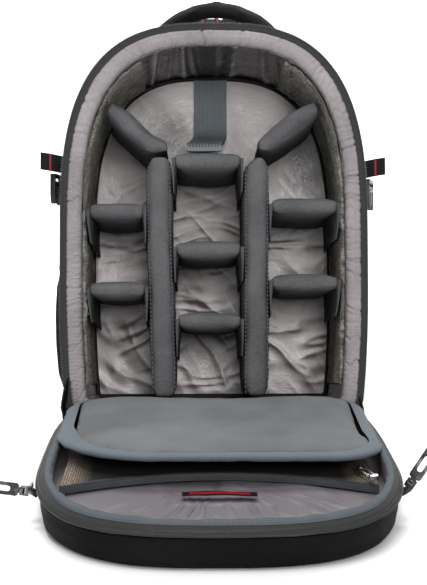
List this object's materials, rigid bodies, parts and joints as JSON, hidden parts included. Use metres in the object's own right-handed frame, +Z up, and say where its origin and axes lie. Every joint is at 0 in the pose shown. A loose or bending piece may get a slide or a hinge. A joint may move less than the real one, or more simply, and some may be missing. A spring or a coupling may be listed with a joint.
{
  "type": "camera backpack",
  "caption": "upright camera backpack with its front panel unzipped and folded down, padded divider cells, flap, mesh pocket, handle, side straps and shoulder harness",
  "frame": {"origin": "on the floor, at the middle of the bounding box's base", "axes": "+Z up; the open compartment faces -Y with the front panel lying towards -Y; the harness is on the +Y side; +X is the viewer's right"},
  "size_m": [0.3892, 0.7498, 0.4629],
  "materials": {
    "shell_cloth": "coated polyester, matt",
    "body_lining": "smooth nylon lining, soft sheen",
    "rim_cloth": "smooth nylon over foam, soft sheen",
    "zip_tape": "woven tape with a nylon coil",
    "loop_cloth": "looped pile",
    "divider_cloth": "brushed knit over foam",
    "strap_webbing": "ribbed webbing",
    "flap_cloth": "fine woven nylon over foam",
    "binding_tape": "grosgrain binding",
    "pocket_mesh": "open knit mesh",
    "lid_lining": "smooth nylon lining, soft sheen",
    "label_cloth": "woven label, left blank",
    "pull_metal": "bright plated zinc",
    "slider_metal": "black lacquered zinc",
    "buckle_plastic": "moulded acetal",
    "webbing": "flat woven webbing",
    "back_pad": "spacer mesh over foam"
  },
  "bodies": {
    "bag": {"body_shell": "shell_cloth", "body_lining": "body_lining", "body_rim": "rim_cloth", "body_zip": "zip_tape", "loop_cloth_left": "loop_cloth", "loop_cloth_right": "loop_cloth", "upright_divider_left": "divider_cloth", "corner_divider_left": "divider_cloth", "upright_divider_right": "divider_cloth", "corner_divider_right": "divider_cloth", "centre_divider_top": "divider_cloth", "centre_divider_middle": "divider_cloth", "centre_divider_bottom": "divider_cloth", "left_divider_upper": "divider_cloth", "left_divider_lower": "divider_cloth", "right_divider_upper": "divider_cloth", "right_divider_lower": "divider_cloth", "divider_strap": "strap_webbing", "grab_handle": "webbing", "side_webbing_left": "webbing", "side_buckle_left": "buckle_plastic", "side_webbing_right": "webbing", "side_buckle_right": "buckle_plastic", "side_pocket": "shell_cloth", "back_pad_left": "back_pad", "back_pad_right": "back_pad", "back_pad_lumbar": "back_pad", "shoulder_strap_left": "back_pad", "strap_adjuster_left": "buckle_plastic", "strap_tail_left": "webbing", "shoulder_strap_right": "back_pad", "strap_adjuster_right": "buckle_plastic", "strap_tail_right": "webbing", "lid_shell": "shell_cloth", "lid_lining": "lid_lining", "lid_binding": "binding_tape", "lid_zip": "zip_tape", "padded_flap": "flap_cloth", "flap_binding": "binding_tape", "pocket_band": "binding_tape", "mesh_pocket": "pocket_mesh", "woven_label": "label_cloth", "inner_zip_slider": "pull_metal", "inner_zip_pull": "pull_metal", "lid_slider_left": "slider_metal", "lid_slider_right": "slider_metal", "lid_hinge": "shell_cloth"},
    "pull_left": {"lid_pull_left": "slider_metal"},
    "pull_right": {"lid_pull_right": "slider_metal"}
  },
  "joints": [
    {"name": "lid_pull_left_hinge", "type": "hinge", "parent": "bag", "child": "pull_left", "pos_m": [-0.15789, -0.24225, 0.02925], "axis": [0.1722, 0.0226, 0.9848], "range_deg": [-60, 60]},
    {"name": "lid_pull_right_hinge", "type": "hinge", "parent": "bag", "child": "pull_right", "pos_m": [0.17136, -0.2417, 0.03546], "axis": [-0.8408, 0.1103, 0.5299], "range_deg": [-60, 60]}
  ]
}
